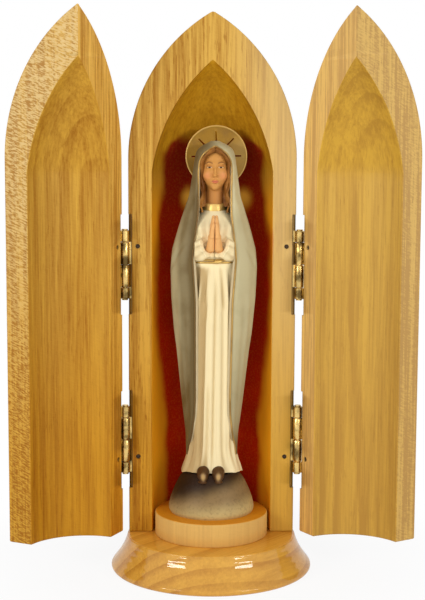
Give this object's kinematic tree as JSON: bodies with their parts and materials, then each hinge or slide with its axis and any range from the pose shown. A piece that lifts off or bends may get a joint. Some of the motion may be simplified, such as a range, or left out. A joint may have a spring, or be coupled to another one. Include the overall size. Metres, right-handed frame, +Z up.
{
  "type": "folding table shrine",
  "caption": "Wooden capsule shrine on a turned foot: a pointed half-round niche closed by hinged quarter-round doors, holding a painted praying figure on a half globe with a slotted halo disc.",
  "frame": {"origin": "centre of the foot's underside, on the closed capsule's axis", "axes": "+Z up along the capsule's axis, front toward -Y, the doors to the left at -X and to the right at +X"},
  "size_m": [0.1468, 0.0738, 0.2027],
  "materials": {
    "wood": "clear lacquered, fine straight grain",
    "brass": "polished",
    "globe_paint": "painted, satin",
    "shoe_paint": "painted, satin",
    "robe_paint": "painted, satin",
    "mantle_paint": "painted, satin",
    "flesh_paint": "painted, satin",
    "hair_paint": "painted, satin"
  },
  "bodies": {
    "shrine": {"base_foot": "wood", "base_disc": "wood", "niche_shell": "wood", "globe": "globe_paint", "left_shoe": "shoe_paint", "right_shoe": "shoe_paint", "robe": "robe_paint", "mantle": "mantle_paint", "head": "flesh_paint", "hair": "hair_paint", "hands": "flesh_paint", "halo": "brass", "left_upper_niche_leaf": "brass", "left_upper_pin": "brass", "left_upper_niche_brad": "brass", "left_lower_niche_leaf": "brass", "left_lower_pin": "brass", "left_lower_niche_brad": "brass", "right_upper_niche_leaf": "brass", "right_upper_pin": "brass", "right_upper_niche_brad": "brass", "right_lower_niche_leaf": "brass", "right_lower_pin": "brass", "right_lower_niche_brad": "brass"},
    "left_door": {"left_door": "wood", "left_upper_door_leaf": "brass", "left_upper_door_brad": "brass", "left_lower_door_leaf": "brass", "left_lower_door_brad": "brass"},
    "right_door": {"right_door": "wood", "right_upper_door_leaf": "brass", "right_upper_door_brad": "brass", "right_lower_door_leaf": "brass", "right_lower_door_brad": "brass"}
  },
  "joints": [
    {"name": "left_door_hinge", "type": "hinge", "parent": "shrine", "child": "left_door", "pos_m": [-0.0317, 0, 0.08], "axis": [0, 0, -1], "range_deg": [-116, 64]},
    {"name": "right_door_hinge", "type": "hinge", "parent": "shrine", "child": "right_door", "pos_m": [0.0317, 0, 0.08], "axis": [0, 0, 1], "range_deg": [-121, 59]}
  ]
}
